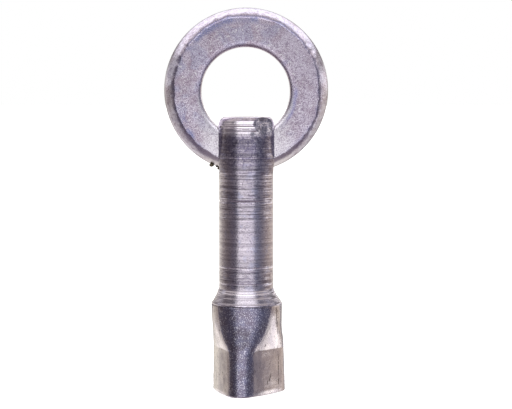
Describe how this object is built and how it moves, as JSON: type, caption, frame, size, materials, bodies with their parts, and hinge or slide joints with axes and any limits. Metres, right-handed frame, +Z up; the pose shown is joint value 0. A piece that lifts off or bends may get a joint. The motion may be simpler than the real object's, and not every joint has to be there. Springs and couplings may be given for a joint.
{
  "type": "radiator bleed key",
  "caption": "Hand key with a three-sided pressed socket that turns a radiator's bleed valve, and a welded flat washer as its finger ring.",
  "frame": {"origin": "centre of the socket's mouth, where the shank's axis crosses the mouth plane", "axes": "+Z up the shank's axis towards the ring; X across the ring's plane, so the ring lies in XZ; -Y towards the ring's bevelled front"},
  "size_m": [0.024, 0.011, 0.0564],
  "materials": {
    "turned_steel": "turned bright steel with fine tool rings; mill-dark speckled skin on the pressed corner, burnished pressed flats",
    "zinc_plate": "mottled pale lilac-grey zinc plating, satin",
    "weld_metal": "dark olive-brown oxidised weld metal"
  },
  "bodies": {
    "root": {"key_body": "turned_steel", "ring_washer": "zinc_plate", "weld_bead_left": "weld_metal", "weld_bead_right": "weld_metal", "weld_spatter": "weld_metal"}
  },
  "joints": []
}
